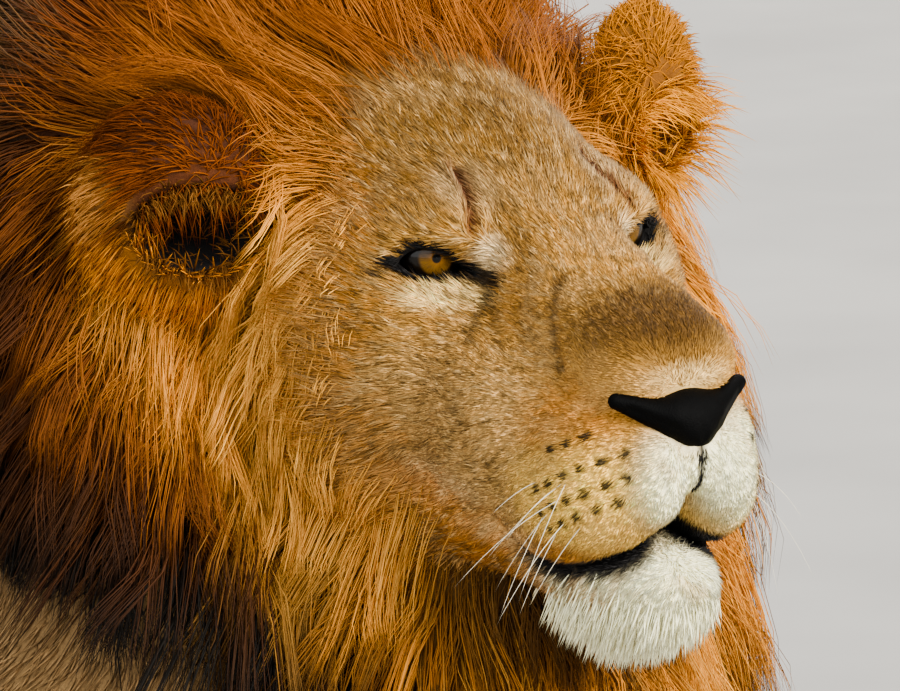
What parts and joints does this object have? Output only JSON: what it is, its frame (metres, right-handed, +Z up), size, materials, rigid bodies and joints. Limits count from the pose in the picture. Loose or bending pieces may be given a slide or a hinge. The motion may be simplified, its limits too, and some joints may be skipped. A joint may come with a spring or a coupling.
{
  "type": "lying male lion",
  "caption": "Life-size still model of an adult male lion lying on its chest with its head raised, full mane, forelegs stretched forward and tail laid to one side.",
  "frame": {"origin": "middle of the bounding box on the floor the lion lies on", "axes": "+Z up; the lion faces -Y and its left side is +X"},
  "size_m": [0.8542, 1.6914, 0.8582],
  "materials": {
    "short_coat": "short tan fur lying flat, with darker flecks and a darker line along the back",
    "mane": "long hair in locks, gold to rust, lighter beside the face",
    "dark_mane": "long dark brown to black hair",
    "chin_coat": "pale cream fur, longest on the chin",
    "nose_leather": "black, finely grained, slightly moist",
    "eye": "wet clear cornea over an amber iris with a small round pupil"
  },
  "bodies": {
    "root": {"belly": "short_coat", "chest": "short_coat", "ear_left": "short_coat", "ear_right": "short_coat", "eye_left": "eye", "eye_right": "eye", "fore_paw_left": "short_coat", "fore_paw_right": "short_coat", "forearm_left": "short_coat", "forearm_right": "short_coat", "head": "short_coat", "hind_paw_left": "short_coat", "hind_paw_right": "short_coat", "jaw": "chin_coat", "mane_bib": "dark_mane", "mane_crown": "mane", "mane_left": "mane", "mane_right": "mane", "neck": "short_coat", "nose": "nose_leather", "rump": "short_coat", "shank_left": "short_coat", "shank_right": "short_coat", "tail": "short_coat", "tail_tuft": "dark_mane", "thigh_left": "short_coat", "thigh_right": "short_coat", "upper_arm_left": "short_coat", "upper_arm_right": "short_coat"}
  },
  "joints": []
}
